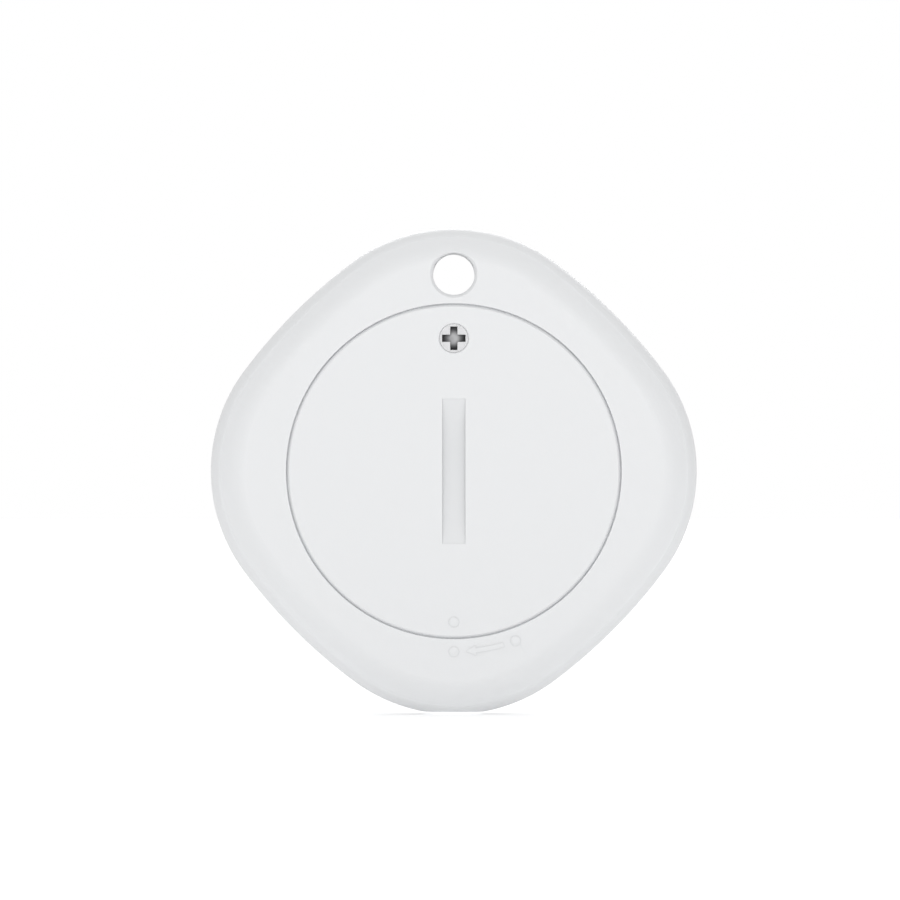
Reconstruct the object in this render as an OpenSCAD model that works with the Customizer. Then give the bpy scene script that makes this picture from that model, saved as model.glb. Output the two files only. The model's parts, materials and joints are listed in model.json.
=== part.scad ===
// Bluetooth tracker tag: a rounded diamond in two halves with a round battery cover.
// The sub-parts are drawn lying flat, button side down, about the axis of the battery cover.
// placed() then stands the tag up: battery cover towards -Y, lanyard hole at the origin.

/* [Body] */
// Width from corner to corner
body_span = 42; // [40:0.5:54]
// Thickness over the two flat faces
body_t = 9.9; // [9.8:0.1:12]
// Radius of the four corners, seen from the front
corner_r = 14.5; // [13:0.5:18]
// Radius of the four long sides, seen from the front
side_r = 46.3; // [40:0.1:60]
// Radius of the edge on the button side
front_edge_r = 4; // [3:0.1:4.8]
// Radius of the edge on the battery side
rear_edge_r = 3; // [2.5:0.1:3.6]
// Thickness of the two flat moulded walls
wall = 1.2; // [1:0.05:1.4]
// Thickness of the side wall
side_wall = 1.6; // [1.4:0.05:2]
// How far in from the widest line the seam between the halves lies
seam_inset = 0.76; // [0.5:0.02:1]

/* [Lanyard hole] */
// Bore of the lanyard hole
lanyard_d = 3.6; // [2.5:0.1:4.4]
// Plastic between the lanyard hole and the corner
lanyard_rim = 2.2; // [1.8:0.1:3]
// Wall of the tube through the body
lanyard_wall = 0.5; // [0.4:0.05:0.6]
// Chamfer at both ends of the hole
lanyard_chamfer = 0.25; // [0.1:0.05:0.4]

/* [Cell] */
// Diameter of the coin cell
cell_d = 20; // [16:0.1:20.2]
// Thickness of the coin cell
cell_t = 3.2; // [2.6:0.1:3.3]
// Room between the cell and the cover
cell_headroom = 0.15; // [0.1:0.05:0.3]
// Room round the cell in its tray
cell_gap = 0.15; // [0.1:0.05:0.3]
// Height under the cell for the contact springs
contact_gap = 0.55; // [0.5:0.05:0.7]

/* [Battery cover] */
// Thickness of the cover's disc
cover_t = 1.4; // [1.3:0.05:1.6]
// Gap round the cover
cover_gap = 0.15; // [0.1:0.05:0.3]
// Depth of the shallow dish in the cover
dish_depth = 0.1; // [0:0.02:0.16]
// Width of the coin slot
slot_w = 2; // [1.6:0.1:2.4]
// Length of the coin slot
slot_l = 12.5; // [10:0.5:15]
// Depth of the coin slot at its middle
slot_depth = 0.95; // [0.7:0.05:1]
// Radius of the coin slot's floor
slot_floor_r = 24; // [22:1:40]
// Thickness of the skirt that carries the lugs
skirt_t = 0.7; // [0.6:0.05:0.9]
// How far each lug reaches past the skirt
lug_reach = 0.9; // [0.7:0.05:1]
// Angle that each lug spans
lug_angle = 12; // [10:1:13]
// Height of each lug
lug_h = 0.9; // [0.7:0.05:1.1]
// Angle from the closed dot to the open dot
unlock_angle = 20; // [20:1:26]
// How far the cover rises for each degree it turns
ramp_rise = 0.04; // [0.03:0.005:0.045]
// Thickness of the ring that the cover seats on
shelf_t = 0.8; // [0.7:0.05:0.9]
// Section of the cover's sealing ring
seal_d = 0.64; // [0.5:0.02:0.66]

/* [Cover screw] */
// Diameter of the screw's head
head_d = 2.48; // [2.2:0.02:2.6]
// Thickness of the screw's head
head_t = 0.65; // [0.5:0.05:0.7]
// Diameter of the screw's thread
thread_d = 1.4; // [1.2:0.1:1.5]
// Rise of the thread in one turn
thread_pitch = 0.3; // [0.25:0.01:0.3]
// Turns that loosen the screw as far as its retaining ring lets it
screw_turns = 5; // [3:1:5]
// Width across the cross recess
cross_span = 2; // [1.6:0.05:2.1]
// Width of each arm of the cross recess
cross_w = 0.6; // [0.4:0.05:0.7]
// Depth of the cross recess
cross_depth = 0.4; // [0.3:0.05:0.45]

/* [Button] */
// Diameter of the button
button_d = 14; // [11:0.5:14.5]
// Gap round the button
button_gap = 0.15; // [0.1:0.05:0.25]
// Thickness of the button's face
button_t = 0.8; // [0.6:0.05:0.9]
// How far the button travels
button_travel = 0.25; // [0.15:0.05:0.25]

/* [Electronics] */
// Thickness of the circuit board
board_t = 0.8; // [0.6:0.1:0.8]
// Gap between the circuit board and the side wall
board_gap = 0.4; // [0.3:0.05:0.8]
// Diameter of the sounder's brass plate
sounder_d = 18; // [14:0.5:18]
// Diameter of the sounder's ceramic disc
element_d = 13; // [9:0.5:13]

/* [Hidden] */
$fn = 96;

white = "#f2f3f4";
grey_white = "#e9ebed";
black = "#26282b";
board_green = "#1d5b41";
brass = "#c9a44e";
steel = "#c3c6ca";
gold = "#d8b25a";
ceramic = "#e6e2d8";
tan = "#b58f63";
gasket_cream = "#d9d4c6";
seal_grey = "#c9ccd0";

// A cut reaches this far past the face that it starts from
over = 1;
// Gap between two pieces that seat on each other
seat_gap = 0.02;

// The outline: four corner arcs, tangent to four long side arcs
corner_offset = body_span / 2 - corner_r;
arc_span = side_r - corner_r;
tangent_angle = 45 - asin(corner_offset / (sqrt(2) * arc_span));
// Rounded, and the long arcs fitted to it, so that each arc ends where the next one starts
corner_angle = round(tangent_angle * 1000) / 1000;
side_angle = 45 - corner_angle;
true_arc_span = corner_offset / (cos(corner_angle) - sin(corner_angle));
side_axis = -true_arc_span * sin(corner_angle);
side_arc_r = corner_r + true_arc_span;

// Levels, from the battery side down to the button side
z_rear = body_t / 2;
z_front = -body_t / 2;
cover_seat_z = z_rear - cover_t;
cell_top_z = cover_seat_z - cell_headroom;
cell_base_z = cell_top_z - cell_t;
tray_floor_t = 0.6;
tray_top_z = cell_base_z - contact_gap;
tray_base_z = tray_top_z - tray_floor_t;
adhesive_t = 0.15;
plate_t = 0.2;
element_t = 0.2;
spring_room = 0.25;
plate_top_z = tray_base_z - adhesive_t;
plate_base_z = plate_top_z - plate_t;
element_base_z = plate_base_z - element_t;
board_top_z = element_base_z - spring_room;
board_base_z = board_top_z - board_t;
front_inner_z = z_front + wall;
spigot_gap = 0.05;
gasket_w = 0.36;
seam_z = z_rear - rear_edge_r + sqrt(pow(rear_edge_r, 2) - pow(rear_edge_r - seam_inset, 2));
groove_z = seam_z - 1.1;

// Rings round the cover's axis, from the cell outwards
cell_r = cell_d / 2;
screw_r = cell_r + 1.46;
skirt_r = screw_r + 1.14;
lug_r = skirt_r + lug_reach;
opening_r = lug_r + 0.15;
seal_seat_r = opening_r - 0.05;
cover_r = opening_r + 0.68;
recess_r = cover_r + cover_gap;
collar_t = 0.75;
collar_r = recess_r + collar_t;
ledge_r = skirt_r + 0.15;

// The lanyard hole and its tube
lanyard_r = lanyard_d / 2;
lanyard_y = body_span / 2 - lanyard_rim - lanyard_r;
tube_r = lanyard_r + lanyard_wall;
tube_joint_z = cover_seat_z - shelf_t - 0.75;

// The lugs of the cover and the ledges that hold them
lug_count = 3;
lug_start = 30;
lug_mid_r = (skirt_r + lug_r) / 2;
ramp_slope = atan(ramp_rise * 180 / PI / lug_mid_r);
lug_top_z = cover_seat_z - 1.05;
lug_base_z = lug_top_z - lug_h;
lug_clearance = 0.06;
ledge_before = lug_angle / 2 + 2;
ledge_after = unlock_angle - lug_angle / 2 - 2;

// The cover screw and its insert
thread_r = thread_d / 2;
head_r = head_d / 2;
head_room = 0.8;
insert_r = thread_r + 0.25;
insert_l = 1.35;
insert_base_z = z_rear - head_room - insert_l;
shelf_top_z = insert_base_z - screw_turns * thread_pitch - 0.55;
screw_tip_z = shelf_top_z + seat_gap;
retainer_t = 0.26;
retainer_r = thread_r + 0.3;
retainer_z = screw_tip_z + 0.2;
head_base_z = z_rear - head_room + 0.07;

// The tray round the cell
tray_bore_r = cell_r + cell_gap;
tray_wall = 0.8;
tray_r = skirt_r + 0.6;
ear_reach = body_span / 2 - 4.5;
ear_r = 1.8;
ear_screw_r = 0.75;
ear_screw_gap = 0.1;
ear_angles = [0, 180, 270];

// Marks for closed and open, standing a little proud of the battery side
mark_h = 0.08;
mark_root = 0.3;
mark_r = 0.42;
mark_ring_r = recess_r + 1.07;
cover_mark_r = cover_r - 1.33;
closed_angle = 270;

// The coin cell's inner pieces
can_wall = 0.25;
crimp_h = 0.25;
cap_r = cell_r - 1.1;

// Contacts: their angles round the tray, and where their legs go down to the board
contact_t = 0.12;
positive_angle = 225;
positive_leg_r = cell_r + 1.55;
negative_angle = 135;
negative_leg_r = max(cell_r - 0.55, sounder_d / 2 + 0.45);
negative_strip_w = 1.6;
leg_room = 0.4;
notch_angle = 0;

// The switch's snap dome, pressed flat by the button's travel
base_h = 0.35;
dome_r = 1.7;
dome_h = button_travel + 0.05;
dome_t = 0.08;
dome_base_z = board_base_z - base_h - dome_t;
dome_apex_z = dome_base_z - dome_h;

component_ring_r = 12.2;

// Room for the circuit board and its parts beside the rounded edge of the front half
inner_edge_r = front_edge_r - side_wall;
board_inset = max(side_wall + board_gap, wall_inset(board_base_z) + 0.08);
component_h = min(1, board_base_z - front_inner_z - 0.2);
antenna_size = [2, 6, component_h];
side_reach = side_arc_r + sqrt(2) * side_axis;
antenna_reach = min(component_ring_r + 2.9,
    side_reach - wall_inset(board_base_z - component_h) - antenna_size.x / 2 - 0.3);

// Angles, on the circuit board, of the parts round its edge
chip_angle = 315;
crystal_angle = 338;
coil_angle = 225;
antenna_angle = 45;

// How far in from the outline the inside of the front half's rounded edge lies, at a height z
function wall_inset(z) = front_edge_r
    - sqrt(pow(inner_edge_r, 2) - pow(min(inner_edge_r, max(0, front_inner_z + inner_edge_r - z)), 2));

module placed() {
    translate([0, 0, -lanyard_y]) rotate([90, 0, 0]) children();
}

// A move in a coarse and a fine step, so that arcs which share an end plane meet exactly
module fine_translate(move) {
    coarse = [for (part = move) round(part * 10) / 10];
    translate(coarse) translate(move - coarse) children();
}

module ring(outer_r, inner_r, z, h) {
    translate([0, 0, z]) difference() {
        cylinder(r = outer_r, h = h);
        translate([0, 0, -over]) cylinder(r = inner_r, h = h + 2 * over);
    }
}

module ring_sector(inner_r, outer_r, z, h, from, to) {
    rotate_extrude(angle = to - from, start = from)
        translate([inner_r, z]) square([outer_r - inner_r, h]);
}

module box_at(size, z) {
    translate([-size.x / 2, -size.y / 2, z]) cube(size);
}

// A section drawn with x = 0 on the outline and x < 0 inside it, taken all round the outline
module around_outline() {
    for (turn = [0:90:270]) rotate(turn) {
        fine_translate([corner_offset, 0, 0])
            rotate_extrude(angle = 2 * corner_angle, start = -corner_angle)
                translate([corner_r, 0]) children();
        fine_translate([side_axis, side_axis, 0])
            rotate_extrude(angle = 2 * side_angle, start = corner_angle)
                fine_translate([side_arc_r, 0]) children();
    }
}

// Where two arcs meet, inset from the outline, at the corner that lies at the angle turn
function joint_point(inset, turn, side) = [
    cos(turn) * corner_offset + (corner_r - inset) * cos(turn + side),
    sin(turn) * corner_offset + (corner_r - inset) * sin(turn + side)
];

// A flat plate whose edge lies inset from the outline
module outline_plate(inset, z, h) {
    side_band = 4;
    middle_inset = inset + 1;
    translate([0, 0, z]) linear_extrude(h) polygon([
        for (turn = [0:90:270]) each [
            joint_point(middle_inset, turn, -corner_angle),
            joint_point(middle_inset, turn, corner_angle)
        ]
    ]);
    for (turn = [0:90:270]) rotate(turn) {
        fine_translate([corner_offset, 0, z])
            rotate_extrude(angle = 2 * corner_angle, start = -corner_angle)
                square([corner_r - inset, h]);
        fine_translate([side_axis, side_axis, z])
            rotate_extrude(angle = 2 * side_angle, start = corner_angle)
                fine_translate([side_arc_r - inset - side_band, 0]) square([side_band, h]);
    }
}

// A flat ring between two insets from the outline
module outline_band(outer_inset, inner_inset, z, h) {
    difference() {
        outline_plate(outer_inset, z, h);
        outline_plate(inner_inset, z - over, h + 2 * over);
    }
}

// Everything on the lower side of a plane that rises along the helix of the lugs
module below_ramp(z) {
    reach = 2 * cover_r;
    translate([0, 0, z]) rotate([ramp_slope, 0, 0])
        translate([0, -reach / 2, -reach]) cube([reach, reach, reach]);
}

module cross_recess(span, arm_w, depth) {
    for (turn = [0, 90]) rotate(turn) box_at([span, arm_w, depth + over], -depth);
}

module round_mark(angle, r) {
    rotate(angle) translate([r, 0, z_rear - mark_root]) cylinder(r = mark_r, h = mark_root + mark_h);
}

// An arrow that curves from the open dot towards the closed dot
module lock_arrow() {
    tail = closed_angle + unlock_angle * 0.8;
    head = closed_angle + unlock_angle * 0.35;
    tip = closed_angle + unlock_angle * 0.195;
    half_shaft = 0.19;
    head_half = 0.43;
    ring_sector(mark_ring_r - half_shaft, mark_ring_r + half_shaft,
        z_rear - mark_root, mark_root + mark_h, head - 0.3, tail);
    translate([0, 0, z_rear - mark_root]) linear_extrude(mark_root + mark_h) polygon([
        (mark_ring_r - head_half) * [cos(head), sin(head)],
        (mark_ring_r + head_half) * [cos(head), sin(head)],
        mark_ring_r * [cos(tip), sin(tip)]
    ]);
}

// Section of the front half: the floor's margin, the rounded edge and the side wall
module front_section() {
    margin = front_edge_r + 2;
    difference() {
        union() {
            intersection() {
                translate([-front_edge_r, z_front + front_edge_r]) circle(r = front_edge_r);
                translate([-front_edge_r, z_front]) square([front_edge_r, front_edge_r]);
            }
            translate([-margin, z_front]) square([2, front_edge_r]);
            translate([-front_edge_r, z_front + front_edge_r])
                square([front_edge_r, z_rear - rear_edge_r - z_front - front_edge_r]);
            intersection() {
                translate([-rear_edge_r, z_rear - rear_edge_r]) circle(r = rear_edge_r);
                translate([-rear_edge_r, z_rear - rear_edge_r])
                    square([rear_edge_r, seam_z - z_rear + rear_edge_r]);
            }
        }
        translate([-front_edge_r, front_inner_z + inner_edge_r]) circle(r = inner_edge_r);
        translate([-margin - over, front_inner_z])
            square([margin + over - front_edge_r, body_t]);
        translate([-front_edge_r - over, front_inner_z + inner_edge_r])
            square([front_edge_r + over - side_wall, body_t]);
    }
}

module front_shell() {
    boss_r = 1.6;
    pilot_depth = 1.75;
    opening_chamfer = 0.3;
    hole_r = button_d / 2 + button_gap;
    color(white) placed() difference() {
        union() {
            around_outline() front_section();
            outline_plate(front_edge_r + 0.5, z_front, wall);
            translate([0, lanyard_y, z_front + wall / 2])
                cylinder(r = tube_r, h = tube_joint_z - seat_gap - z_front - wall / 2);
            for (turn = ear_angles) rotate(turn) translate([ear_reach, 0, z_front + wall / 2])
                cylinder(r = boss_r, h = board_base_z - z_front - wall / 2);
        }
        translate([0, lanyard_y, z_front - over]) cylinder(r = lanyard_r, h = body_t);
        translate([0, lanyard_y, z_front - lanyard_chamfer])
            cylinder(r1 = lanyard_r + 2 * lanyard_chamfer, r2 = lanyard_r, h = 2 * lanyard_chamfer);
        translate([0, 0, z_front - over]) cylinder(r = hole_r, h = wall + 2 * over);
        translate([0, 0, z_front - opening_chamfer])
            cylinder(r1 = hole_r + 2 * opening_chamfer, r2 = hole_r, h = 2 * opening_chamfer);
        for (turn = ear_angles) rotate(turn) translate([ear_reach, 0, board_base_z - pilot_depth])
            cylinder(r = ear_screw_r, h = pilot_depth + over);
    }
}

// Section of the rear half: the rounded edge outside the seam and the spigot inside it
module rear_section() {
    margin = rear_edge_r + 2;
    spigot_t = 0.8;
    spigot_h = 1.5;
    intersection() {
        translate([-rear_edge_r, z_rear - rear_edge_r]) circle(r = rear_edge_r);
        translate([-rear_edge_r, seam_z + seat_gap]) square([rear_edge_r, body_t]);
    }
    translate([-margin, z_rear - wall]) square([2, wall]);
    translate([-rear_edge_r - over, z_rear - wall])
        square([over + rear_edge_r - side_wall - spigot_gap, wall - z_rear + seam_z + 2 * seat_gap]);
    translate([-side_wall - spigot_gap - spigot_t, seam_z - spigot_h]) square([spigot_t, spigot_h + 0.3]);
}

module cover_ledge() {
    difference() {
        ring_sector(ledge_r, opening_r + 0.3, lug_base_z, cover_seat_z - lug_base_z,
            -ledge_before - 2, ledge_after);
        intersection() {
            below_ramp(lug_top_z + lug_clearance);
            ring_sector(ledge_r - over, opening_r + 0.15, lug_base_z - over, 2 * over + lug_h + 1,
                -ledge_before, ledge_after + over);
        }
    }
}

module rear_shell() {
    wall_drop = 2.4;
    color(white) placed() difference() {
        union() {
            difference() {
                union() {
                    around_outline() rear_section();
                    outline_plate(rear_edge_r + 0.5, z_rear - wall, wall);
                    translate([0, lanyard_y, tube_joint_z])
                        cylinder(r = tube_r, h = z_rear - wall / 2 - tube_joint_z);
                    ring(collar_r, opening_r, cover_seat_z - shelf_t, shelf_t + cover_t - wall / 2);
                }
                translate([0, 0, cover_seat_z]) cylinder(r = recess_r, h = cover_t + over);
                translate([0, 0, -z_rear]) cylinder(r = opening_r, h = body_t);
            }
            ring(opening_r + 0.75, opening_r, cover_seat_z - shelf_t - wall_drop, wall_drop + shelf_t / 2);
            for (k = [0:lug_count - 1]) rotate(lug_start + k * 360 / lug_count) cover_ledge();
        }
        outline_band(side_wall - spigot_gap, side_wall + spigot_gap + gasket_w,
            groove_z, gasket_w + 2 * seat_gap);
        translate([0, lanyard_y, z_front]) cylinder(r = lanyard_r, h = body_t + over);
        translate([0, lanyard_y, z_rear - lanyard_chamfer])
            cylinder(r1 = lanyard_r, r2 = lanyard_r + 2 * lanyard_chamfer, h = 2 * lanyard_chamfer);
    }
    color(white) placed() {
        round_mark(closed_angle, mark_ring_r);
        round_mark(closed_angle + unlock_angle, mark_ring_r);
        lock_arrow();
    }
}

module shell_gasket() {
    color(black) placed()
        outline_band(side_wall + seat_gap, side_wall + seat_gap + gasket_w, groove_z + seat_gap, gasket_w);
}

module battery_tray() {
    shelf_h = 0.6;
    ear_t = tray_base_z - board_top_z;
    ear_lap = 0.4;
    window_half = 17;
    notch_half = 9;
    positive_slot = [1.4, 2.4, 2];
    negative_slot = [0.6, negative_strip_w + 2 * leg_room, 2];
    color(grey_white) placed() difference() {
        union() {
            translate([0, 0, tray_base_z]) cylinder(r = tray_r, h = tray_floor_t);
            ring(tray_bore_r + tray_wall, tray_bore_r, tray_top_z - 0.1, shelf_top_z - tray_top_z + 0.1);
            ring(tray_r, tray_bore_r + tray_wall / 2, shelf_top_z - shelf_h, shelf_h);
            ring(tray_r, tray_r - tray_wall, board_top_z, shelf_top_z - board_top_z);
            for (turn = ear_angles) rotate(turn) difference() {
                union() {
                    translate([ear_reach, 0, board_top_z]) cylinder(r = ear_r, h = ear_t);
                    translate([tray_r - ear_lap, -ear_r, board_top_z])
                        cube([ear_reach - tray_r + ear_lap, 2 * ear_r, ear_t]);
                }
                translate([ear_reach, 0, board_top_z - over])
                    cylinder(r = ear_screw_r + ear_screw_gap, h = 3);
            }
        }
        rotate(positive_angle)
            ring_sector(tray_bore_r - over, tray_bore_r + tray_wall + 0.9, tray_top_z,
                shelf_top_z - tray_top_z + over, -window_half, window_half);
        rotate(positive_angle) translate([positive_leg_r, 0, 0]) box_at(positive_slot, tray_base_z - over);
        rotate(negative_angle) translate([negative_leg_r, 0, 0]) box_at(negative_slot, tray_base_z - over);
        // The negative strip's way out of the bore, where the cell is smaller than the sounder
        rotate(negative_angle) translate([0, -negative_slot.y / 2, tray_top_z])
            cube([negative_leg_r + leg_room, negative_slot.y, 2 * contact_t]);
        rotate(notch_angle) ring_sector(tray_bore_r - over, tray_bore_r + tray_wall + 0.8, cell_base_z + 0.1,
            shelf_top_z - cell_base_z + over, -notch_half, notch_half);
    }
}

module tray_screws() {
    pan_r = 1.4;
    pan_h = 0.6;
    shaft_l = 3.1;
    recess = [1.6, 0.45, 0.35];
    color(steel) placed() for (turn = ear_angles) rotate(turn) translate([ear_reach, 0, tray_base_z])
        difference() {
            union() {
                cylinder(r = pan_r, h = pan_h);
                translate([0, 0, -shaft_l]) cylinder(r = ear_screw_r, h = shaft_l + pan_h / 2);
            }
            translate([0, 0, pan_h]) cross_recess(recess.x, recess.y, recess.z);
        }
}

module circuit_board() {
    notch_r = tube_r + 0.5;
    color(board_green) placed() difference() {
        outline_plate(board_inset, board_base_z, board_t);
        translate([0, lanyard_y, board_base_z - over]) cylinder(r = notch_r, h = board_t + 2 * over);
        translate([-notch_r, lanyard_y, board_base_z - over])
            cube([2 * notch_r, body_span, board_t + 2 * over]);
        for (turn = ear_angles) rotate(turn) translate([ear_reach, 0, board_base_z - over])
            cylinder(r = ear_screw_r + ear_screw_gap, h = board_t + 2 * over);
    }
}

// A part on the button side of the board, at an angle and a distance from the middle
module on_board(angle, reach, size) {
    rotate(angle) translate([reach, 0, 0]) box_at(size, board_base_z - size.z);
}

module radio_chip() {
    color(black) placed() on_board(chip_angle, component_ring_r, [5, 5, 0.8]);
}

module crystal() {
    color(steel) placed() on_board(crystal_angle, component_ring_r + 0.9, [2.5, 2, 0.6]);
}

module chip_antenna() {
    color(ceramic) placed() on_board(antenna_angle, antenna_reach, antenna_size);
}

module boost_coil() {
    size = [3.4, 3.4, component_h];
    dimple_r = 1.2;
    dimple_depth = 0.2;
    color(black) placed() difference() {
        on_board(coil_angle, component_ring_r, size);
        rotate(coil_angle) translate([component_ring_r, 0, board_base_z - component_h - over])
            cylinder(r = dimple_r, h = over + dimple_depth);
    }
}

// Two staggered rows of small capacitors next to the chip
module chip_capacitors() {
    size = [1, 0.5, 0.5];
    first = -17;
    step = -4.6;
    row_gap = 1.4;
    color(tan) placed() for (k = [0:5])
        on_board(chip_angle + first + step * k, component_ring_r + (k % 2) * row_gap, size);
}

module chip_resistors() {
    size = [1, 0.5, 0.35];
    first = 22;
    step = 5;
    color(black) placed() for (k = [0:3]) on_board(antenna_angle + first + step * k, component_ring_r, size);
}

module switch_base() {
    size = [4.4, 4.4, base_h];
    well_r = dome_r - 0.25;
    well_depth = 0.15;
    color(black) placed() difference() {
        box_at(size, board_base_z - base_h);
        translate([0, 0, board_base_z - base_h - over]) cylinder(r = well_r, h = over + well_depth);
    }
}

// The snap dome of the switch: a thin cap of a sphere, seen as a section

module switch_dome() {
    steps = 8;
    bend_r = (pow(dome_r, 2) + pow(dome_h, 2)) / (2 * dome_h);
    half_angle = asin(dome_r / bend_r);
    color(steel) placed() translate([0, 0, dome_base_z]) rotate_extrude() polygon(concat(
        [for (k = [0:steps]) [bend_r * sin(half_angle * k / steps),
            bend_r - dome_h - bend_r * cos(half_angle * k / steps)]],
        [for (k = [steps:-1:0]) [bend_r * sin(half_angle * k / steps),
            bend_r - dome_h + dome_t - bend_r * cos(half_angle * k / steps)]]
    ));
}

module sounder_ring() {
    ring_w = 1.2;
    color(black) placed() ring(sounder_d / 2, sounder_d / 2 - ring_w, plate_top_z, adhesive_t);
}

module sounder_plate() {
    color(brass) placed() translate([0, 0, plate_base_z]) cylinder(r = sounder_d / 2, h = plate_t);
}

module sounder_element() {
    color(ceramic) placed() translate([0, 0, element_base_z]) cylinder(r = element_d / 2, h = element_t);
}

// Two leaf springs that stand on the board, one on the brass and one on the ceramic
module sounder_springs() {
    leaf_t = 0.08;
    leaf_w = 0.8;
    for_plate = [sounder_d / 2 - 0.9, plate_base_z];
    for_element = [element_d / 2 - 2.6, element_base_z];
    color(gold) placed() for (leaf = [for_plate, for_element]) rotate(20) {
        rise = leaf[1] - board_top_z;
        translate([leaf[0], leaf_w / 2, board_top_z]) rotate([90, 0, 0]) linear_extrude(leaf_w) polygon([
            [-1.6, 0], [-0.9, 0], [0, rise - leaf_t], [0.5, rise - leaf_t],
            [0.5, rise], [-0.05, rise], [-0.95, leaf_t], [-1.6, leaf_t]
        ]);
    }
}

// A springy blade against the side of the can, with a leg down to the board
module positive_contact() {
    strip_t = contact_t;
    strip_w = 1.2;
    blade_half = 12;
    lift = 0.05;
    blade_z = tray_top_z + 0.75;
    blade_h = 0.3;
    blade_r = cell_r + 0.03;
    leg_r = positive_leg_r;
    color(gold) placed() rotate(positive_angle) {
        ring_sector(blade_r, blade_r + strip_t, blade_z, blade_h, -blade_half, blade_half);
        translate([blade_r, -strip_w / 2, tray_top_z + lift]) cube([strip_t, strip_w, blade_z - tray_top_z]);
        translate([blade_r, -strip_w / 2, tray_top_z + lift]) cube([leg_r - blade_r, strip_w, strip_t]);
        translate([leg_r - strip_t, -strip_w / 2, board_top_z])
            cube([strip_t, strip_w, tray_top_z + lift + strip_t - board_top_z]);
    }
}

module negative_contact() {
    strip_t = contact_t;
    strip_w = negative_strip_w;
    hub_r = 2.4;
    foot = 1.5;
    finger_top = cell_base_z - seat_gap;
    color(steel) placed() {
        translate([0, 0, tray_top_z]) cylinder(r = hub_r, h = strip_t);
        for (turn = [0:90:270]) rotate(turn) translate([0, strip_w / 2, 0]) rotate([90, 0, 0])
            linear_extrude(strip_w) polygon([
                [1, tray_top_z], [3, tray_top_z], [6, finger_top - strip_t], [7, finger_top - strip_t],
                [7, finger_top], [5.95, finger_top], [2.95, tray_top_z + strip_t], [1, tray_top_z + strip_t]
            ]);
        rotate(negative_angle) {
            translate([foot, -strip_w / 2, tray_top_z]) cube([negative_leg_r - foot, strip_w, strip_t]);
            translate([negative_leg_r - strip_t, -strip_w / 2, board_top_z])
                cube([strip_t, strip_w, tray_top_z + strip_t - board_top_z]);
        }
    }
}

module button_cap() {
    cap_r = button_d / 2;
    flange_r = cap_r + 0.8;
    flange_t = 0.4;
    skirt = 0.8;
    edge = 0.2;
    color(grey_white) placed() difference() {
        union() {
            translate([0, 0, z_front]) cylinder(r1 = cap_r - edge, r2 = cap_r, h = edge);
            translate([0, 0, z_front + edge]) cylinder(r = cap_r, h = wall + seat_gap + flange_t / 2 - edge);
            translate([0, 0, front_inner_z + seat_gap]) cylinder(r = flange_r, h = flange_t);
        }
        translate([0, 0, z_front + button_t]) cylinder(r = cap_r - skirt, h = body_t);
    }
}

// The soft pad under the button's face, with the nub that works the switch
module button_pad() {
    pad_t = 0.3;
    pad_inset = 0.85;
    nub_r = 0.9;
    color(black) placed() translate([0, 0, z_front + button_t]) {
        cylinder(r = button_d / 2 - pad_inset, h = pad_t);
        cylinder(r = nub_r, h = dome_apex_z - seat_gap - z_front - button_t);
    }
}

module coin_slot() {
    intersection() {
        box_at([slot_w, slot_l, 4], z_rear - 2);
        translate([-slot_w, 0, z_rear - slot_depth + slot_floor_r]) rotate([0, 90, 0])
            cylinder(r = slot_floor_r, h = 2 * slot_w);
    }
}

// A shallow dish, as a stack of rings that follow a parabola
module cover_dish() {
    steps = 6;
    dish_r = cover_r - 0.6;
    rotate_extrude() polygon(concat(
        [for (k = [0:steps]) [dish_r * k / steps, z_rear - dish_depth * (1 - pow(k / steps, 2))]],
        [[dish_r, z_rear + over], [0, z_rear + over]]
    ));
}

module battery_cover() {
    edge = 0.15;
    seal_room = 0.7;
    boss_r = insert_r + 0.4;
    boss_lap = 0.3;
    head_gap = 0.06;
    press_gap = 0.01;
    retainer_gap = 0.15;
    skirt_h = cover_seat_z - lug_base_z;
    color(white) placed() difference() {
        union() {
            translate([0, 0, cover_seat_z + seat_gap]) cylinder(r = cover_r, h = cover_t - seat_gap - edge);
            translate([0, 0, z_rear - edge]) cylinder(r1 = cover_r, r2 = cover_r - edge, h = edge);
            ring(skirt_r, skirt_r - skirt_t, lug_base_z, skirt_h + cover_t / 2);
            for (k = [0:lug_count - 1]) rotate(lug_start + k * 360 / lug_count) intersection() {
                ring_sector(skirt_r - skirt_t / 2, lug_r, lug_base_z, 2 * lug_h,
                    -lug_angle / 2, lug_angle / 2);
                below_ramp(lug_top_z);
            }
            intersection() {
                translate([0, screw_r, insert_base_z])
                    cylinder(r = boss_r, h = cover_seat_z - insert_base_z + boss_lap);
                ring(skirt_r, cell_r + cell_gap, insert_base_z, body_t);
            }
        }
        cover_dish();
        coin_slot();
        ring(cover_r + over, seal_seat_r, cover_seat_z - 0.2, seal_room + 0.2);
        translate([0, screw_r, z_rear - head_room]) cylinder(r = head_r + head_gap, h = head_room + over);
        translate([0, screw_r, insert_base_z - over])
            cylinder(r = insert_r + press_gap, h = insert_l + 2 * over);
        translate([0, screw_r, lug_base_z - over])
            cylinder(r = retainer_r + retainer_gap, h = insert_base_z - lug_base_z + over);
    }
    color(white) placed() round_mark(closed_angle, cover_mark_r);
}

module screw_insert() {
    groove_depth = 0.08;
    groove_h = 0.2;
    grooves = [0.35, 0.8];
    color(brass) placed() translate([0, screw_r, insert_base_z]) difference() {
        cylinder(r = insert_r, h = insert_l);
        translate([0, 0, -over]) cylinder(r = thread_r + seat_gap, h = insert_l + 2 * over);
        for (z = grooves) ring(insert_r + over, insert_r - groove_depth, z, groove_h);
    }
}

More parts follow.
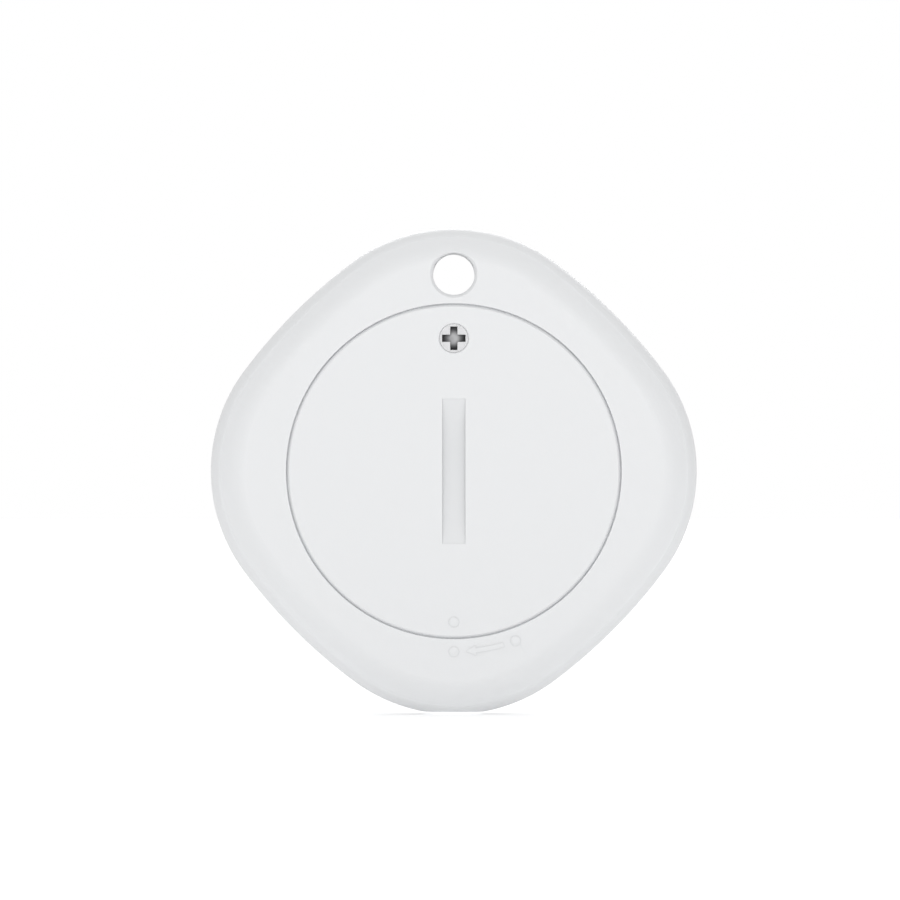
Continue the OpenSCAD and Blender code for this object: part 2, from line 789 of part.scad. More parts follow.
module cover_seal() {
    seal_mid_r = (seal_seat_r + cover_r) / 2;
    squeeze_gap = 0.03;
    color(seal_grey) placed() translate([0, 0, cover_seat_z + squeeze_gap + seal_d / 2]) rotate_extrude()
        translate([seal_mid_r, 0]) circle(r = seal_d / 2);
}

module screw_retainer() {
    split_w = 0.5;
    inner_r = thread_r - 0.2;
    color(black) placed() translate([0, screw_r, 0]) difference() {
        ring(retainer_r, inner_r, retainer_z + seat_gap, retainer_t);
        translate([0, -split_w / 2, retainer_z - over]) cube([2 * retainer_r, split_w, 3 * over]);
    }
}

module cover_screw() {
    tip_l = 0.15;
    groove_r = thread_r - 0.22;
    groove_h = retainer_t + 2 * seat_gap;
    color(steel) placed() translate([0, screw_r, 0]) difference() {
        union() {
            translate([0, 0, head_base_z]) cylinder(r = head_r, h = head_t);
            translate([0, 0, screw_tip_z + tip_l])
                cylinder(r = thread_r, h = head_base_z + head_t / 2 - screw_tip_z - tip_l);
            translate([0, 0, screw_tip_z]) cylinder(r1 = thread_r - tip_l, r2 = thread_r, h = tip_l);
        }
        translate([0, 0, head_base_z + head_t]) cross_recess(cross_span, cross_w, cross_depth);
        ring(head_r, groove_r, retainer_z, groove_h);
    }
}

// The coin cell: an outer can, a plastic gasket and an inner cap with the electrodes in it

module cell_can() {
    edge = 0.35;
    color(steel) placed() difference() {
        union() {
            translate([0, 0, cell_base_z + crimp_h]) cylinder(r = cell_r, h = cell_t - crimp_h - edge);
            translate([0, 0, cell_top_z - edge]) cylinder(r1 = cell_r, r2 = cell_r - edge, h = edge);
        }
        translate([0, 0, cell_base_z - over])
            cylinder(r = cell_r - can_wall, h = cell_t - can_wall + over);
    }
}

module cell_gasket() {
    color(gasket_cream) placed()
        ring(cell_r - can_wall, cap_r, cell_base_z + crimp_h / 2, cell_t - can_wall - crimp_h / 2);
}

module cell_cap() {
    edge = 0.2;
    color(steel) placed() {
        translate([0, 0, cell_base_z]) cylinder(r1 = cap_r - edge, r2 = cap_r, h = edge);
        translate([0, 0, cell_base_z + edge]) cylinder(r = cap_r, h = cell_t - can_wall - edge);
    }
}

front_shell();
rear_shell();
shell_gasket();
battery_tray();
tray_screws();
circuit_board();
radio_chip();
crystal();
chip_antenna();
boost_coil();
chip_capacitors();
chip_resistors();
switch_base();
switch_dome();
sounder_ring();
sounder_plate();
sounder_element();
sounder_springs();
positive_contact();
negative_contact();
button_cap();
button_pad();
battery_cover();
screw_insert();
cover_seal();
screw_retainer();
cover_screw();
cell_can();
cell_gasket();
cell_cap();
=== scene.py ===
import json
import math

import bpy
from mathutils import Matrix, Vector

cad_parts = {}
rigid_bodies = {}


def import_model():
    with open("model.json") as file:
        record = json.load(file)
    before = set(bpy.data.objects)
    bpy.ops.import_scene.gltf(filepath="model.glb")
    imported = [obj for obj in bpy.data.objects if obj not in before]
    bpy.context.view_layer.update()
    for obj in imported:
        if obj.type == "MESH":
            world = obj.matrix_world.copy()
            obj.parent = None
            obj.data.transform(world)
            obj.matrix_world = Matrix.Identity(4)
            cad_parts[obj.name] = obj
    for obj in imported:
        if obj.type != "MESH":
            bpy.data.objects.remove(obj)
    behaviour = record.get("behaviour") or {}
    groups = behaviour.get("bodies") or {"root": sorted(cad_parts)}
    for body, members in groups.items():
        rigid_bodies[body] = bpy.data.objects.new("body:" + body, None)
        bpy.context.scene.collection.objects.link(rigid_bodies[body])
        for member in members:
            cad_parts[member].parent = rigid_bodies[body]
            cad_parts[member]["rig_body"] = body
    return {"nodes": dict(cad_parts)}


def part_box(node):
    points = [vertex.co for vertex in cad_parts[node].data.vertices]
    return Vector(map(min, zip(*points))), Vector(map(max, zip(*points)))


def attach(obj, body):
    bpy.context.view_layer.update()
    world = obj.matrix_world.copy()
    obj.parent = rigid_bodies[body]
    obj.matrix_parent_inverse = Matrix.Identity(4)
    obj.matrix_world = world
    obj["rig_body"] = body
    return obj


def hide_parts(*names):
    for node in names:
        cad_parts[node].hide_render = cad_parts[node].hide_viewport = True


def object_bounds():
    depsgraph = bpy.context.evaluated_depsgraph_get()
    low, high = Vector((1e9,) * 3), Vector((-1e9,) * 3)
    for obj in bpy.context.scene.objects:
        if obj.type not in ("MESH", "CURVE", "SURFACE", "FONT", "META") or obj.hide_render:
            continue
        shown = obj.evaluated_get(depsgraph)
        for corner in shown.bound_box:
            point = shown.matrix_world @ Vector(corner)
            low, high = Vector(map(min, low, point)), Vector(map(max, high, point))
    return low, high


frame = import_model()
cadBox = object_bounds()
mm = 0.001
print("frame loaded")


# Helpers for shader maths: a Wire is one output, and plain expressions join wires with maths nodes
class Wire:
    def __init__(self, finish, socket):
        self.finish = finish
        self.socket = socket

    def maths(self, operation, first, second=None):
        values = {0: first} if second is None else {0: first, 1: second}
        return self.finish.node("ShaderNodeMath", {"operation": operation}, values)

    def __add__(self, other):
        return self.maths("ADD", self, other)

    def __radd__(self, other):
        return self.maths("ADD", other, self)

    def __sub__(self, other):
        return self.maths("SUBTRACT", self, other)

    def __rsub__(self, other):
        return self.maths("SUBTRACT", other, self)

    def __mul__(self, other):
        return self.maths("MULTIPLY", self, other)

    def __rmul__(self, other):
        return self.maths("MULTIPLY", other, self)

    def __pow__(self, other):
        return self.maths("POWER", self, other)

    def above(self, low, high):
        # 0 below low, 1 above high, and a smooth rise in between
        values = {"Value": self, "From Min": low, "From Max": high}
        settings = {"interpolation_type": "SMOOTHSTEP", "clamp": True}
        return self.finish.node("ShaderNodeMapRange", settings, values)

    def sine(self):
        return self.maths("SINE", self)

    def fraction(self):
        return self.maths("FRACT", self)

    def size(self):
        return self.maths("ABSOLUTE", self)


# One procedural material, in millimetres of object space
class Finish:
    def __init__(self, name, **uniform):
        self.material = bpy.data.materials.new(name)
        self.material.use_nodes = True
        self.tree = self.material.node_tree
        self.shader = self.tree.nodes["Principled BSDF"]
        for key, value in uniform.items():
            self.shader.inputs[key.replace("_", " ")].default_value = value
        coordinates = self.node("ShaderNodeTexCoord", {}, {}, "Object")
        settings = {"operation": "SCALE"}
        values = {0: coordinates, "Scale": 1 / mm}
        self.place = self.node("ShaderNodeVectorMath", settings, values, "Vector")
        self.x = self.node("ShaderNodeSeparateXYZ", {}, {0: self.place}, "X")
        self.y = self.node("ShaderNodeSeparateXYZ", {}, {0: self.place}, "Y")
        self.z = self.node("ShaderNodeSeparateXYZ", {}, {0: self.place}, "Z")

    def node(self, kind, settings, values, output=0):
        made = self.tree.nodes.new(kind)
        for key, value in settings.items():
            setattr(made, key, value)
        for key, value in values.items():
            self.put(made.inputs[key], value)
        return Wire(self, made.outputs[output])

    def put(self, socket, value):
        if isinstance(value, Wire):
            self.tree.links.new(value.socket, socket)
        else:
            socket.default_value = value

    def noise(self, scale, detail=3, place=None):
        # fBm noise about 0, with scale features to a millimetre
        values = {"Vector": place or self.place, "Scale": scale, "Detail": detail}
        return self.node("ShaderNodeTexNoise", {}, values, "Fac") - 0.5

    def cells(self, scale, **settings):
        # distance to the middle of the nearest cell, or as the settings say
        values = {"Vector": self.place, "Scale": scale}
        return self.node("ShaderNodeTexVoronoi", settings, values, "Distance")

    def vector(self, x, y, z):
        return self.node("ShaderNodeCombineXYZ", {}, {"X": x, "Y": y, "Z": z}, "Vector")

    def blend(self, share, first, second):
        # colours, with the share of the second
        settings = {"data_type": "RGBA"}
        return self.node("ShaderNodeMix", settings, {0: share, 6: colour(first), 7: colour(second)}, 2)

    def tint(self, base, amount):
        # a colour made lighter or darker by amount, a wire about 0
        settings = {"operation": "SCALE"}
        values = {0: colour(base)[:3] if not isinstance(base, Wire) else base, "Scale": 1 + amount}
        return self.node("ShaderNodeVectorMath", settings, values, "Vector")

    def radius(self, z):
        # distance from an axis along Y at that height
        return (self.x * self.x + (self.z - z) * (self.z - z)) ** 0.5

    def angle(self, z):
        return self.node("ShaderNodeMath", {"operation": "ARCTAN2"}, {0: self.z - z, 1: self.x})

    def crevice(self, reach, alone=True):
        # 0 in the open and towards 1 in a narrow corner, or between two pieces where alone is False
        settings = {"samples": 8, "only_local": alone}
        values = {"Distance": reach * mm}
        return 1 - self.node("ShaderNodeAmbientOcclusion", settings, values, "AO")

    def bump(self, height, depth):
        # height is a wire of about 0 to 1, and depth is in millimetres
        values = {"Height": height, "Distance": depth * mm, "Strength": 1}
        self.put(self.shader.inputs["Normal"], self.node("ShaderNodeBump", {}, values, "Normal"))

    def wear(self, colourWire=None, roughness=None, metallic=None):
        for key, value in (("Base Color", colourWire), ("Roughness", roughness), ("Metallic", metallic)):
            if value is not None:
                self.put(self.shader.inputs[key], value)
        return self.material


def colour(value):
    return value if isinstance(value, Wire) else (*value[:3], 1)


def middleHeight(nodeName):
    low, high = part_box(nodeName)
    return (low.z + high.z) / 2 / mm


# The heights of the axes that round pieces are turned about, in millimetres
axes = {"cover": middleHeight("battery_cover"), "screw": middleHeight("cover_screw")}


def mouldedPlastic(name, settings):
    # moulded plastic with a spark-eroded skin, faint flow marks and a little light coming through, with
    # painted shade in narrow corners and a painted glow in gaps between parts
    finish = Finish(
        name,
        Subsurface_Weight=settings["glow"],
        Subsurface_Radius=(1, 1, 1),
        Subsurface_Scale=settings["glowDepth"] * mm,
        IOR=1.58,
        Emission_Strength=1,
    )
    grain = finish.noise(settings["grain"], 4)
    flow = finish.noise(settings["flow"], 2)
    pits = finish.cells(settings["grain"] * settings["pitsPerGrain"])
    finish.bump(grain * settings["grainShare"] + pits * settings["pitShare"], settings["grainDepth"])
    shade = flow * settings["flowShade"] + grain * settings["grainShade"]
    # painted shade: the colour is made darker in narrow corners and at the foot of raised marks, by ambient
    # occlusion
    shade = shade - finish.crevice(settings["paintedShadeReach"]) * settings["paintedCornerShade"]
    rough = settings["roughness"] + grain * settings["grainRough"] + flow * settings["flowRough"]
    # painted light: a glow in narrow gaps between parts stands for the light that the plastic round them
    # carries in
    gap = finish.crevice(settings["gapReach"], alone=False)
    paintedGapGlow = gap.above(settings["gapFrom"], settings["gapTo"])
    finish.put(finish.shader.inputs["Emission Color"], finish.tint(settings["paintedGapGlowColour"], paintedGapGlow - 1))
    return finish.wear(finish.tint(settings["colour"], shade), rough)


anyPlastic = {
    "pitsPerGrain": 1.6, "grainShare": 0.7, "pitShare": 0.5, "grainRough": 0.1, "flowRough": 0.08,
    # the reach and strength of the painted shade in narrow corners, then the painted glow in gaps between
    # parts
    "paintedShadeReach": 0.12, "paintedCornerShade": 0.45,
    "gapReach": 0.4, "gapFrom": 0.6, "gapTo": 0.9, "paintedGapGlowColour": (0.45, 0.453, 0.46),
}
plastics = {
    "white": {
        **anyPlastic,
        "colour": (0.675, 0.682, 0.69), "roughness": 0.42, "grain": 9.0, "grainDepth": 0.0035,
        "grainShade": 0.012, "flow": 0.12, "flowShade": 0.02, "glow": 0.12, "glowDepth": 0.6,
        "paintedCornerShade": 0.2,
    },
    "button": {
        **anyPlastic,
        "colour": (0.69, 0.70, 0.713), "roughness": 0.36, "grain": 12.0, "grainDepth": 0.0025,
        "grainShade": 0.012, "flow": 0.2, "flowShade": 0.02, "glow": 0.12, "glowDepth": 0.6,
    },
    "tray": {
        **anyPlastic,
        "colour": (0.70, 0.705, 0.70), "roughness": 0.5, "grain": 5.0, "grainDepth": 0.008,
        "grainShade": 0.05, "flow": 0.3, "flowShade": 0.05, "glow": 0.08, "glowDepth": 0.4,
    },
    "gasket": {
        **anyPlastic,
        "colour": (0.66, 0.62, 0.52), "roughness": 0.4, "grain": 8.0, "grainDepth": 0.003,
        "grainShade": 0.03, "flow": 0.4, "flowShade": 0.05, "glow": 0.2, "glowDepth": 0.3,
    },
}


def rubber(name, settings):
    # moulded rubber with a fine grain, and dust in patches
    finish = Finish(name, IOR=1.43)
    grain = finish.noise(settings["grain"], 5)
    dust = finish.noise(settings["dust"], 3).above(settings["dustFrom"], settings["dustTo"])
    base = finish.blend(dust * settings["dustShare"], settings["colour"], settings["dustColour"])
    finish.bump(grain, settings["depth"])
    rough = settings["roughness"] + grain * settings["grainRough"]
    return finish.wear(finish.tint(base, grain * settings["grainShade"]), rough)


anyRubber = {"dustFrom": 0.08, "dustTo": 0.3, "grainShade": 0.3, "grainRough": 0.2}
rubbers = {
    "black": {
        **anyRubber,
        "colour": (0.03, 0.032, 0.035), "dustColour": (0.16, 0.16, 0.16), "dustShare": 0.35,
        "grain": 7.0, "dust": 2.2, "depth": 0.006, "roughness": 0.62,
    },
    "seal": {
        **anyRubber,
        "colour": (0.78, 0.79, 0.80), "dustColour": (0.62, 0.61, 0.59), "dustShare": 0.3,
        "grain": 9.0, "dust": 3.0, "depth": 0.004, "roughness": 0.5,
    },
}


def metal(name, settings):
    # rolled sheet: long fine scratches one way, a slow tarnish, and a little grain
    finish = Finish(name, Metallic=1.0)
    stretch = settings["stretch"]
    along = finish.vector(finish.x * stretch[0], finish.y * stretch[1], finish.z * stretch[2])
    lines = finish.noise(1.0, 4, along)
    cloud = finish.noise(settings["cloud"], 4)
    spots = finish.cells(settings["cloud"] * settings["spotsPerCloud"]).above(*settings["spotEdge"])
    finish.bump(lines, settings["depth"])
    shade = lines * settings["lineShade"] + cloud * settings["cloudShade"]
    shade = shade + (spots - 1) * settings["spotShade"]
    rough = settings["roughness"] + cloud * settings["cloudRough"] + lines * settings["lineRough"]
    return finish.wear(finish.tint(settings["colour"], shade), rough)


anySheet = {
    "spotsPerCloud": 3, "spotEdge": (0.05, 0.35), "spotShade": 0.03, "cloudRough": 0.18, "lineRough": 0.12,
}
metals = {
    "steel": {
        **anySheet,
        "colour": (0.60, 0.61, 0.62), "roughness": 0.3, "stretch": (1.2, 9.0, 26.0), "cloud": 0.9,
        "depth": 0.0012, "lineShade": 0.12, "cloudShade": 0.12,
    },
    "spring": {
        **anySheet,
        "colour": (0.68, 0.66, 0.61), "roughness": 0.26, "stretch": (2.0, 12.0, 30.0), "cloud": 0.7,
        "depth": 0.001, "lineShade": 0.1, "cloudShade": 0.15,
    },
    "gold": {
        **anySheet,
        "colour": (0.90, 0.66, 0.28), "roughness": 0.24, "stretch": (3.0, 16.0, 34.0), "cloud": 1.4,
        "depth": 0.0008, "lineShade": 0.08, "cloudShade": 0.12,
    },
}


def turnedMetal(name, settings, axis):
    # metal turned or brushed round an axis, so that its fine lines run in circles
    finish = Finish(name, Metallic=1.0)
    distance = finish.radius(axis)
    turn = finish.angle(axis)
    wobble = finish.noise(settings["wobble"], 2) * settings["wobbleShare"]
    rings = settings["rings"]
    around = finish.vector(distance * rings, turn * settings["arc"], finish.y * rings)
    lines = finish.noise(1, 4, around)
    cloud = finish.noise(settings["cloud"], 4)
    tool = (distance * settings["tool"] + wobble).sine()
    finish.bump(lines + tool * settings["toolShare"], settings["depth"])
    shade = lines * settings["lineShade"] + cloud * settings["cloudShade"]
    rough = settings["roughness"] + (lines + cloud) * settings["markRough"]
    base = finish.tint(settings["colour"], shade)
    if "sunkFrom" in settings:
        # painted shade: the driver recess is darkened, most of all at the ends of its arms, for the shade
        # and dark reflections inside it
        sunk = (finish.y - settings["sunkFrom"]).above(*settings["sunkEdge"])
        out = distance.above(settings["armFrom"], settings["armTo"])
        paintedRecessShade = sunk * (settings["paintedRecessShade"] + out * settings["paintedArmShade"] + cloud * settings["paintedShadeCloud"])
        base = finish.blend(paintedRecessShade, base, settings["paintedShadeColour"])
        rough = rough + paintedRecessShade * settings["recessRough"]
    return finish.wear(base, rough)


anyTurned = {"wobble": 0.8, "wobbleShare": 0.6, "markRough": 0.15}
turned = {
    "screw": {
        **anyTurned, "sunkFrom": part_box("cover_screw")[0].y / mm, "sunkEdge": (0.02, 0.2),
        # painted shade in the driver recess, strongest at the ends of its arms, and its colour
        "armFrom": 0.2, "armTo": 0.95, "paintedRecessShade": 0.25, "paintedArmShade": 0.7, "paintedShadeCloud": 0.3, "recessRough": 0.3,
        "paintedShadeColour": (0.035, 0.035, 0.037),
        "colour": (0.34, 0.34, 0.345), "roughness": 0.36, "rings": 22.0, "arc": 2.0, "cloud": 1.6,
        "tool": 60.0, "toolShare": 0.25, "depth": 0.0015, "lineShade": 0.16, "cloudShade": 0.12,
    },
    "cell": {
        **anyTurned,
        "colour": (0.66, 0.665, 0.67), "roughness": 0.24, "rings": 14.0, "arc": 7.0, "cloud": 0.35,
        "tool": 9.0, "toolShare": 0.04, "depth": 0.0012, "lineShade": 0.12, "cloudShade": 0.1,
    },
    "brass": {
        **anyTurned,
        "colour": (0.80, 0.60, 0.30), "roughness": 0.3, "rings": 12.0, "arc": 4.0, "cloud": 0.5,
        "tool": 14.0, "toolShare": 0.08, "depth": 0.0015, "lineShade": 0.12, "cloudShade": 0.22,
    },
}


def boardFinish(settings):
    # solder mask over copper tracks, with bare gold vias and a weave that shows faintly through
    finish = Finish("boardMask", IOR=1.5, Coat_Weight=0.25, Coat_Roughness=0.2)
    blocks = finish.cells(settings["tracks"], distance="CHEBYCHEV")
    edges = finish.cells(settings["tracks"], feature="DISTANCE_TO_EDGE")
    ripple = (blocks * settings["trackCount"]).fraction()
    track = ripple.above(*settings["trackStart"]) * (1 - ripple.above(*settings["trackEnd"]))
    pour = edges.above(*settings["pourEdge"])
    copper = track * (1 - pour) + pour * settings["pourShare"]
    via = finish.cells(settings["vias"])
    ring = 1 - via.above(*settings["ringEdge"])
    hole = 1 - via.above(*settings["holeEdge"])
    weave = (finish.x * settings["weave"]).sine() * (finish.z * settings["weave"]).sine()
    base = finish.blend(copper, settings["mask"], settings["maskOnCopper"])
    base = finish.tint(base, weave * settings["weaveShade"] + finish.noise(0.4, 3) * settings["cloudShade"])
    base = finish.blend(ring, base, settings["gold"])
    base = finish.blend(hole, base, settings["hole"])
    relief = copper * settings["copperRelief"] + weave * settings["weaveRelief"]
    finish.bump(relief + ring * settings["ringRelief"] - hole, settings["depth"])
    rough = settings["roughness"] + finish.noise(5, 3) * settings["grainRough"]
    return finish.wear(base, rough, ring * (1 - hole) * settings["ringMetal"])


boardValues = {
    "tracks": 0.42, "trackCount": 7.0, "trackStart": (0.42, 0.5), "trackEnd": (0.86, 0.94),
    "pourEdge": (0.10, 0.13), "pourShare": 0.85, "vias": 0.55, "ringEdge": (0.13, 0.16),
    "holeEdge": (0.055, 0.075), "weave": 9.0, "weaveShade": 0.05, "cloudShade": 0.15,
    "copperRelief": 0.6, "weaveRelief": 0.05, "ringRelief": 0.5, "depth": 0.03,
    "roughness": 0.34, "grainRough": 0.15, "ringMetal": 0.9,
    "mask": (0.010, 0.085, 0.045), "maskOnCopper": (0.022, 0.17, 0.085),
    "gold": (0.83, 0.60, 0.27), "hole": (0.01, 0.01, 0.01),
}


def chipFinish(settings):
    # moulded epoxy with a fine sparkle of filler
    finish = Finish("chipEpoxy", IOR=1.55)
    grain = finish.noise(settings["grain"], 5)
    filler = 1 - finish.cells(settings["filler"]).above(*settings["fillerEdge"])
    base = finish.blend(filler * settings["fillerShare"], settings["colour"], settings["fillerColour"])
    finish.bump(grain, settings["depth"])
    rough = settings["roughness"] + grain * settings["grainRough"]
    return finish.wear(finish.tint(base, grain * settings["grainShade"]), rough)


chipValues = {
    "colour": (0.022, 0.023, 0.026), "fillerColour": (0.11, 0.11, 0.12), "grain": 14.0,
    "filler": 6.0, "fillerEdge": (0.08, 0.2), "fillerShare": 0.4, "depth": 0.006,
    "roughness": 0.5, "grainRough": 0.25, "grainShade": 0.4,
}


def capacitorFinish(settings):
    # fired ceramic between two tinned ends; the two rows lie at two distances from the middle
    finish = Finish("capacitorBody", IOR=1.6)
    distance = finish.radius(axes["cover"])
    fromInner = (distance - settings["rows"][0]).size()
    fromOuter = (distance - settings["rows"][1]).size()
    nearest = finish.node("ShaderNodeMath", {"operation": "MINIMUM"}, {0: fromInner, 1: fromOuter})
    grain = finish.noise(settings["grain"], 4)
    end = (nearest + grain * settings["endWaver"]).above(*settings["endEdge"])
    base = finish.blend(end, settings["colour"], settings["tin"])
    finish.bump(grain, settings["depth"])
    rough = settings["roughness"] - end * settings["endRough"] + grain * settings["grainRough"]
    return finish.wear(finish.tint(base, grain * settings["grainShade"]), rough, end)


capacitorValues = {
    "rows": (12.2, 13.6), "endEdge": (0.26, 0.29), "endWaver": 0.06, "grain": 9.0, "depth": 0.01,
    "roughness": 0.42, "endRough": 0.1, "grainRough": 0.15, "grainShade": 0.25,
    "colour": (0.42, 0.27, 0.14), "tin": (0.70, 0.70, 0.69),
}


def ceramicFinish(settings):
    # glazed white ceramic with a faint fired speckle
    finish = Finish("firedCeramic", IOR=1.65)
    speckle = 1 - finish.cells(settings["speckle"]).above(*settings["speckleEdge"])
    cloud = finish.noise(settings["cloud"], 4)
    base = finish.blend(speckle * settings["speckleShare"], settings["colour"], settings["speckleColour"])
    finish.bump(cloud + speckle * settings["speckleRelief"], settings["depth"])
    rough = settings["roughness"] + cloud * settings["cloudRough"]
    return finish.wear(finish.tint(base, cloud * settings["cloudShade"]), rough)


ceramicValues = {
    "colour": (0.74, 0.72, 0.66), "speckleColour": (0.45, 0.42, 0.36), "speckle": 3.2, "cloud": 1.5,
    "speckleEdge": (0.05, 0.22), "speckleShare": 0.3, "speckleRelief": 0.4, "depth": 0.004,
    "roughness": 0.38, "cloudRough": 0.2, "cloudShade": 0.1,
}

finishes = {
    "white_plastic": mouldedPlastic("whiteShell", plastics["white"]),
    "button_plastic": mouldedPlastic("buttonPlastic", plastics["button"]),
    "grey_plastic": mouldedPlastic("trayPlastic", plastics["tray"]),
    "gasket_plastic": mouldedPlastic("cellGasket", plastics["gasket"]),
    "black_rubber": rubber("blackRubber", rubbers["black"]),
    "seal_silicone": rubber("sealSilicone", rubbers["seal"]),
    "board": boardFinish(boardValues),
    "chip_black": chipFinish(chipValues),
    "capacitor_tan": capacitorFinish(capacitorValues),
    "ceramic": ceramicFinish(ceramicValues),
    "steel": metal("rolledSteel", metals["steel"]),
    "spring_metal": metal("springMetal", metals["spring"]),
    "gold_plate": metal("goldPlate", metals["gold"]),
    "screw_steel": turnedMetal("turnedSteel", turned["screw"], axes["screw"]),
    "cell_steel": turnedMetal("brushedCell", turned["cell"], axes["cover"]),
    "brass": turnedMetal("turnedBrass", turned["brass"], axes["cover"]),
}
slotOf = {}
for nodeName, node in frame["nodes"].items():
    for holder in node.material_slots:
        slotOf[nodeName] = holder.material.name.split(".")[0]
        holder.material = finishes[slotOf[nodeName]]
print("materials made")


def pickAlone(piece):
    bpy.ops.object.select_all(action="DESELECT")
    piece.select_set(True)
    bpy.context.view_layer.objects.active = piece


def standFor(piece, nodeName):
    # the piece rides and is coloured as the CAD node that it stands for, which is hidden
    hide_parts(nodeName)
    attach(piece, frame["nodes"][nodeName]["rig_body"])


def applied(piece, kind, **settings):
    # adds a modifier with these settings to the picked piece and makes it part of the mesh
    bpy.ops.object.modifier_add(type=kind)
    modifier = piece.modifiers[-1]
    for key, value in settings.items():
        setattr(modifier, key, value)
    bpy.ops.object.modifier_apply(modifier=modifier.name)


def softened(nodeName, pieceName, width):
    # the CAD shape with its sharp edges rounded off, as moulding, punching or turning leaves them
    mesh = frame["nodes"][nodeName].data.copy()
    piece = bpy.data.objects.new(pieceName, mesh)
    bpy.context.scene.collection.objects.link(piece)
    pickAlone(piece)
    bpy.ops.object.mode_set(mode="EDIT")
    bpy.ops.mesh.select_all(action="SELECT")
    bpy.ops.mesh.remove_doubles(threshold=softening["merge"] * mm)
    bpy.ops.mesh.dissolve_limited(angle_limit=math.radians(softening["flat"]))
    bpy.ops.mesh.normals_make_consistent(inside=False)
    bpy.ops.object.mode_set(mode="OBJECT")
    bpy.ops.mesh.customdata_custom_splitnormals_clear()
    sharp = math.radians(softening["sharp"])
    segments = softening["segments"]
    applied(piece, "BEVEL", width=width * mm, segments=segments, limit_method="ANGLE", angle_limit=sharp)
    bpy.ops.object.shade_smooth_by_angle(angle=sharp)
    # broad faces set the normals, so a flat face stays flat up to its rounded edges
    applied(piece, "WEIGHTED_NORMAL", weight=softening["broadWeight"], keep_sharp=True)
    standFor(piece, nodeName)


# In millimetres and degrees
softening = {"merge": 0.0005, "flat": 0.2, "segments": 2, "sharp": 30, "broadWeight": 80}
edgeWidths = {"crisp": 0.025, "body": 0.05}
softPieces = {
    "front_shell": ("frontShell", "body"), "rear_shell": ("rearShell", "crisp"),
    "battery_cover": ("batteryCover", "crisp"), "button_cap": ("buttonCap", "body"),
    "cover_screw": ("coverScrew", "crisp"), "cell_can": ("cellCan", "body"),
    "cell_cap": ("cellCap", "crisp"), "battery_tray": ("batteryTray", "body"),
    "radio_chip": ("radioChip", "body"), "crystal": ("crystalCan", "body"),
    "chip_antenna": ("antennaBlock", "body"), "boost_coil": ("boostCoil", "body"),
    "chip_capacitors": ("capacitors", "crisp"), "chip_resistors": ("resistors", "crisp"),
    "switch_base": ("switchBase", "body"), "tray_screws": ("trayScrews", "crisp"),
    "screw_insert": ("screwInsert", "crisp"), "screw_retainer": ("screwRetainer", "crisp"),
    "negative_contact": ("negativeContact", "crisp"), "positive_contact": ("positiveContact", "crisp"),
    "circuit_board": ("circuitBoard", "crisp"), "button_pad": ("buttonPad", "body"),
}
for nodeName, (pieceName, edge) in softPieces.items():
    softened(nodeName, pieceName, edgeWidths[edge])
print("edges softened")


# Floor, world, lights and camera
studio = {
    "floorSize": 6.0, "floorColour": (0.72, 0.722, 0.726), "floorGlow": 0.34,
    "floorGrain": 0.02, "floorShade": 0.01, "floorRoughness": 0.8, "floorRough": 0.1,
    "airStrength": 1.0, "sideShade": 0.25,
    "fillPlace": (0, -0.35, -0.02), "fillAim": (0, 0, -0.034), "fillSize": 0.2, "fillPower": 0.34,
    "keyPower": 0.6, "keySpread": 30, "keyAim": (-0.04, -1, -0.42),
    "lens": 500, "sensor": 36, "nearest": 0.01, "distance": 1.077, "aimX": -0.00033, "aimZ": -0.01517,
}


def floorFinish():
    # a pale floor that also glows a little, as a light table does
    glow = {"Emission_Strength": studio["floorGlow"], "Emission_Color": (1, 1, 1, 1)}
    finish = Finish("paleFloor", IOR=1.3, **glow)
    grain = finish.noise(studio["floorGrain"], 4)
    rough = studio["floorRoughness"] + grain * studio["floorRough"]
    return finish.wear(finish.tint(studio["floorColour"], grain * studio["floorShade"]), rough)


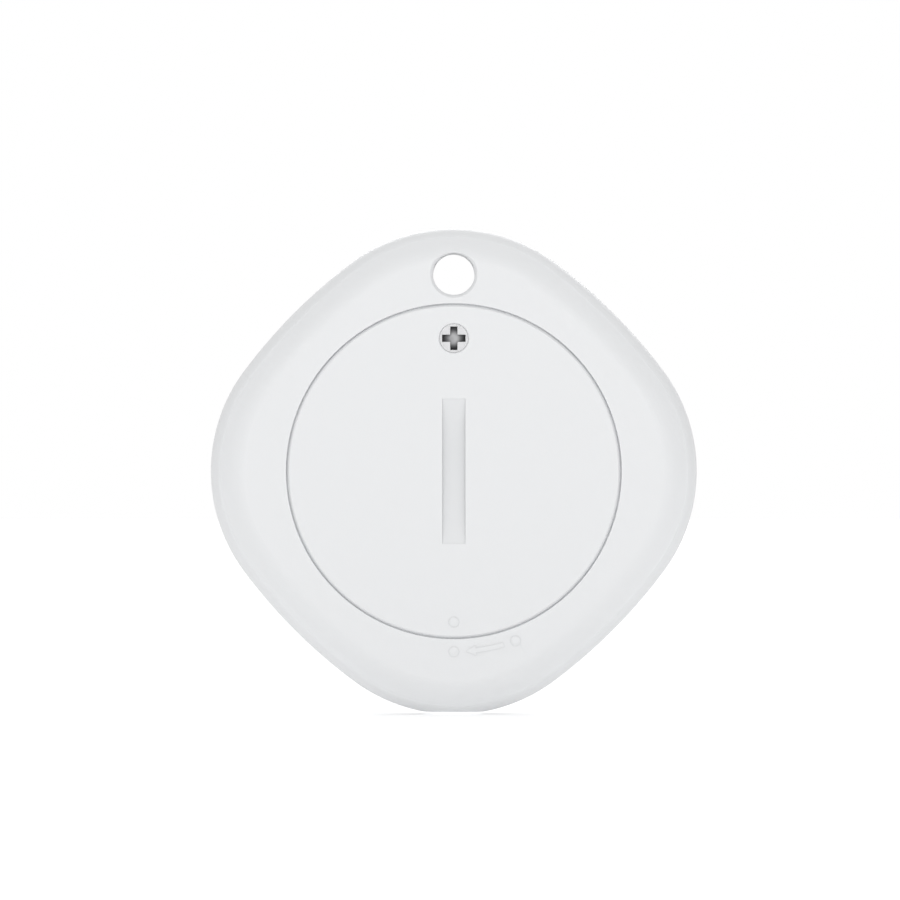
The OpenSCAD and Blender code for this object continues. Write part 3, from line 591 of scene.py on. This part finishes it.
bpy.ops.object.select_all(action="DESELECT")
low = cadBox[0]
bpy.ops.mesh.primitive_plane_add(size=studio["floorSize"], location=(0, 0, low.z))
floor = bpy.context.object
floor.name = "floor"
floor.data.materials.append(floorFinish())

# White air all round, a little darker to the left and right, so that the tag's sides read as round
world = bpy.data.worlds.new("studioAir")
bpy.context.scene.world = world
world.use_nodes = True
air = world.node_tree
towards = air.nodes.new("ShaderNodeTexCoord").outputs["Generated"]
sides = air.nodes.new("ShaderNodeVectorMath")
sides.operation = "MULTIPLY"
across = air.nodes.new("ShaderNodeVectorMath")
across.operation = "DOT_PRODUCT"
across.inputs[1].default_value = (-studio["sideShade"], 0, 0)
strength = air.nodes.new("ShaderNodeMath")
strength.inputs[1].default_value = studio["airStrength"]
air.links.new(towards, sides.inputs[0])
air.links.new(towards, sides.inputs[1])
air.links.new(sides.outputs["Vector"], across.inputs[0])
air.links.new(across.outputs["Value"], strength.inputs[0])
air.links.new(strength.outputs["Value"], air.nodes["Background"].inputs["Strength"])
air.nodes["Background"].inputs["Color"].default_value = (1, 1, 1, 1)
bpy.context.scene.view_settings.view_transform = "Standard"


def addLight(name, kind, power, direction):
    lamp = bpy.data.lights.new(name, kind)
    lamp.energy = power
    holder = bpy.data.objects.new(name, lamp)
    bpy.context.scene.collection.objects.link(holder)
    holder.rotation_mode = "QUATERNION"
    holder.rotation_quaternion = Vector(direction).to_track_quat("-Z", "Y")
    return holder


fillPlace = Vector(studio["fillPlace"])
fill = addLight("lowFill", "AREA", studio["fillPower"], Vector(studio["fillAim"]) - fillPlace)
fill.location = fillPlace
fill.data.size = studio["fillSize"]
key = addLight("softKey", "SUN", studio["keyPower"], studio["keyAim"])
key.data.angle = math.radians(studio["keySpread"])

lens = bpy.data.cameras.new("camera")
camera = bpy.data.objects.new("camera", lens)
bpy.context.scene.collection.objects.link(camera)
lens.lens = studio["lens"]
lens.sensor_width = studio["sensor"]
camera.location = (studio["aimX"], low.y - studio["distance"], studio["aimZ"])
camera.rotation_euler = (math.pi / 2, 0, 0)
lens.clip_start = studio["nearest"]
bpy.context.scene.camera = camera
print("studio made")
